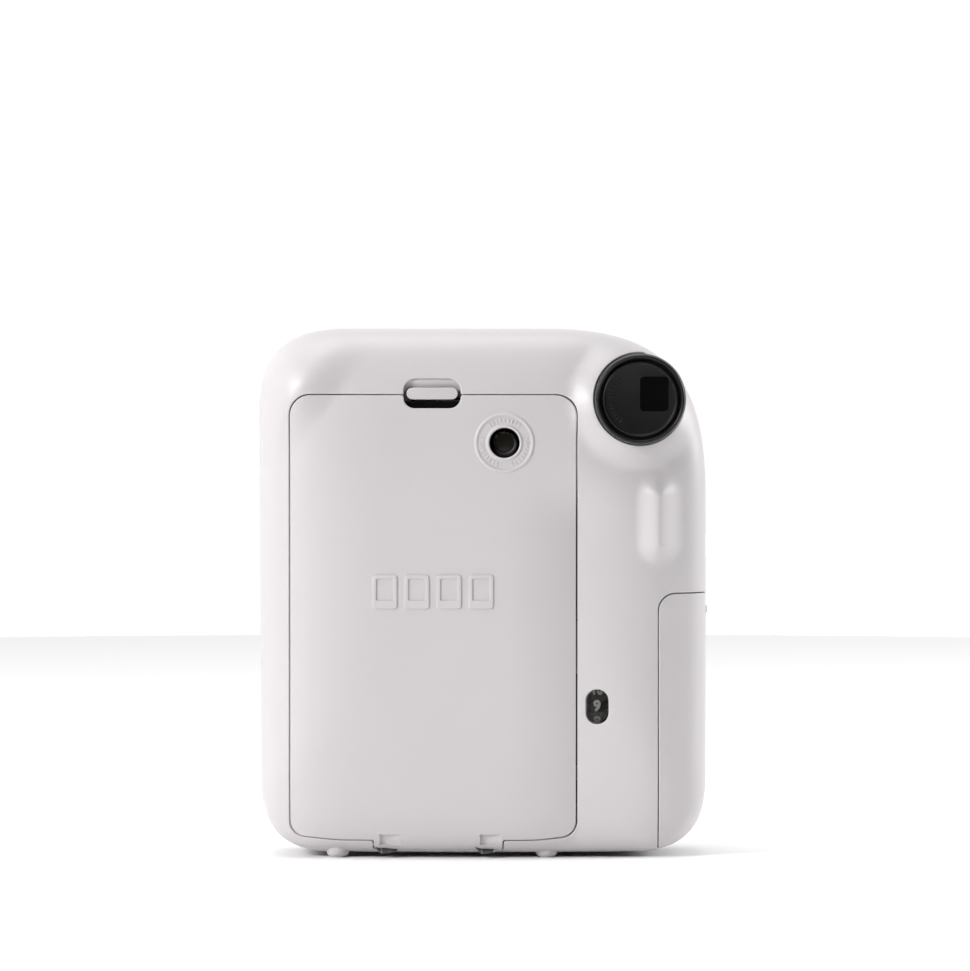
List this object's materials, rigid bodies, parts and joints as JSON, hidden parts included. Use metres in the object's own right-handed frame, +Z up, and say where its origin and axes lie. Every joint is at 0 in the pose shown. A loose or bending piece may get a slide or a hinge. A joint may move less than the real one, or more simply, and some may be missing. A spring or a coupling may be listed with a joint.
{
  "type": "instant camera",
  "caption": "Upright rounded instant film camera with a hinged film door on the back, a round eyepiece, a collared twist-to-open lens, a flash and a slot on top for the print.",
  "frame": {"origin": "on the table under the middle of the camera", "axes": "+Z up, +Y out of the film door at the back, so the lens looks along -Y; +X is to the right seen from the front"},
  "size_m": [0.1042, 0.0666, 0.1224],
  "materials": {
    "case_plastic": "soft satin clay white",
    "ring_plastic": "satin grey",
    "satin_black": "satin black",
    "inner_black": "matte black",
    "nylon": "natural nylon",
    "circuit_board": "green solder mask",
    "capacitor_sleeve": "shrink sleeve",
    "smoked_window": "smoked clear",
    "clear_lens": "polished clear",
    "mirror": "polished",
    "steel": "plain",
    "brass": "machined"
  },
  "bodies": {
    "camera_body": {"rear_cover": "case_plastic", "front_cover": "case_plastic", "hinge_pin": "steel", "film_chamber": "inner_black", "light_tunnel": "inner_black", "case_screw_1": "steel", "case_screw_2": "steel", "case_screw_3": "steel", "case_screw_4": "steel", "gear_side_plate": "steel", "roller_far_plate": "steel", "motor": "steel", "eyepiece_ring": "satin_black", "eyepiece_lens": "smoked_window", "finder_tube": "inner_black", "finder_bezel": "satin_black", "finder_front_lens": "clear_lens", "flash_window": "clear_lens", "flash_reflector": "mirror", "flash_tube": "clear_lens", "light_meter_window": "smoked_window", "flash_sensor_window": "smoked_window", "flash_capacitor": "capacitor_sleeve", "release_switch": "inner_black", "counter_window": "smoked_window", "battery_box": "inner_black", "cell_link_plate": "steel", "cell_button_contact": "steel", "cell_spring_contact": "steel", "main_board": "circuit_board", "latch_spring": "steel", "shutter_spring": "steel"},
    "door": {"film_door": "case_plastic", "film_check_window": "smoked_window"},
    "pad_left": {"pressure_pad_left": "inner_black"},
    "pad_right": {"pressure_pad_right": "inner_black"},
    "latch": {"door_latch": "case_plastic"},
    "battery_door": {"battery_cover": "case_plastic"},
    "ring": {"lens_ring": "ring_plastic"},
    "barrel": {"lens_barrel": "satin_black", "selfie_mirror": "mirror", "front_lens": "clear_lens", "front_lens_cell": "inner_black", "shutter_plate": "inner_black", "rear_lens_cell": "inner_black", "rear_lens": "clear_lens"},
    "cover_upper": {"lens_cover_upper": "satin_black"},
    "cover_lower": {"lens_cover_lower": "satin_black"},
    "shutter": {"shutter_blade": "steel"},
    "release": {"shutter_button": "case_plastic"},
    "claw": {"film_claw": "steel"},
    "drum": {"counter_drum": "satin_black"},
    "roller_drive": {"drive_roller": "steel", "drive_roller_gear": "nylon"},
    "roller_pinch": {"pinch_roller": "steel", "pinch_roller_gear": "nylon"},
    "idler_upper": {"idler_gear_upper": "nylon"},
    "idler_lower": {"idler_gear_lower": "nylon"},
    "pinion": {"motor_pinion": "brass"}
  },
  "joints": [
    {"name": "door_hinge", "type": "hinge", "parent": "camera_body", "child": "door", "pos_m": [0.0115, 0.023, 0.0034], "axis": [-1, 0, 0], "range_deg": [0, 85]},
    {"name": "pad_left_press", "type": "slide", "parent": "door", "child": "pad_left", "axis": [0, 1, 0], "range_m": [0, 0.0005], "stiffness_N_per_m": 400, "springref_m": -0.001},
    {"name": "pad_right_press", "type": "slide", "parent": "door", "child": "pad_right", "axis": [0, 1, 0], "range_m": [0, 0.0005], "stiffness_N_per_m": 400, "springref_m": -0.001},
    {"name": "latch_slide", "type": "slide", "parent": "camera_body", "child": "latch", "axis": [0, 0, -1], "range_m": [0, 0.0015], "stiffness_N_per_m": 300, "springref_m": -0.001, "deforming": ["latch_spring"]},
    {"name": "battery_cover_slide", "type": "slide", "parent": "camera_body", "child": "battery_door", "axis": [-1, 0, 0], "range_m": [0, 0.025]},
    {"name": "ring_turn", "type": "hinge", "parent": "camera_body", "child": "ring", "pos_m": [0.0115, 0, 0.052], "axis": [0, 1, 0], "range_deg": [0, 80]},
    {"name": "barrel_slide", "type": "slide", "parent": "camera_body", "child": "barrel", "axis": [0, -1, 0], "range_m": [0, 0.008]},
    {"name": "cover_upper_open", "type": "slide", "parent": "barrel", "child": "cover_upper", "axis": [0, 0, 1], "range_m": [0, 0.0086]},
    {"name": "cover_lower_open", "type": "slide", "parent": "barrel", "child": "cover_lower", "axis": [0, 0, -1], "range_m": [0, 0.0086]},
    {"name": "shutter_swing", "type": "hinge", "parent": "barrel", "child": "shutter", "pos_m": [0.0225, -0.0226, 0.052], "axis": [0, 1, 0], "range_deg": [0, 60], "stiffness_Nm_per_rad": 0.0002, "springref_deg": -11.46},
    {"name": "release_press", "type": "slide", "parent": "camera_body", "child": "release", "axis": [0, 1, 0], "range_m": [0, 0.0011], "stiffness_N_per_m": 400, "springref_m": -0.0005, "deforming": ["shutter_spring"]},
    {"name": "claw_lift", "type": "slide", "parent": "camera_body", "child": "claw", "axis": [0, 0, 1], "range_m": [0, 0.008]},
    {"name": "counter_turn", "type": "hinge", "parent": "camera_body", "child": "drum", "pos_m": [-0.0264, 0.0161, 0.0352], "axis": [1, 0, 0], "range_deg": [0, 300]},
    {"name": "drive_roller_spin", "type": "hinge", "parent": "camera_body", "child": "roller_drive", "pos_m": [0.0115, 0.00915, 0.113], "axis": [1, 0, 0], "continuous": true},
    {"name": "pinch_roller_spin", "type": "hinge", "parent": "camera_body", "child": "roller_pinch", "pos_m": [0.0115, 0.00365, 0.113], "axis": [1, 0, 0], "continuous": true},
    {"name": "idler_upper_spin", "type": "hinge", "parent": "camera_body", "child": "idler_upper", "pos_m": [-0.024, 0.00915, 0.10375], "axis": [1, 0, 0], "continuous": true},
    {"name": "idler_lower_spin", "type": "hinge", "parent": "camera_body", "child": "idler_lower", "pos_m": [-0.024, -0.00294, 0.09898], "axis": [1, 0, 0], "continuous": true},
    {"name": "pinion_spin", "type": "hinge", "parent": "camera_body", "child": "pinion", "pos_m": [-0.024, -0.0036, 0.09], "axis": [1, 0, 0], "continuous": true}
  ],
  "couplings": [
    {"joint": "barrel_slide", "follows": "ring_turn", "m_per_rad": 0.0057},
    {"joint": "cover_upper_open", "follows": "ring_turn", "m_per_rad": 0.0061},
    {"joint": "cover_lower_open", "follows": "ring_turn", "m_per_rad": 0.0061},
    {"joint": "pinch_roller_spin", "follows": "drive_roller_spin", "ratio": -1},
    {"joint": "idler_upper_spin", "follows": "drive_roller_spin", "ratio": -0.42308},
    {"joint": "idler_lower_spin", "follows": "drive_roller_spin", "ratio": 0.42308},
    {"joint": "pinion_spin", "follows": "drive_roller_spin", "ratio": -1.1}
  ]
}
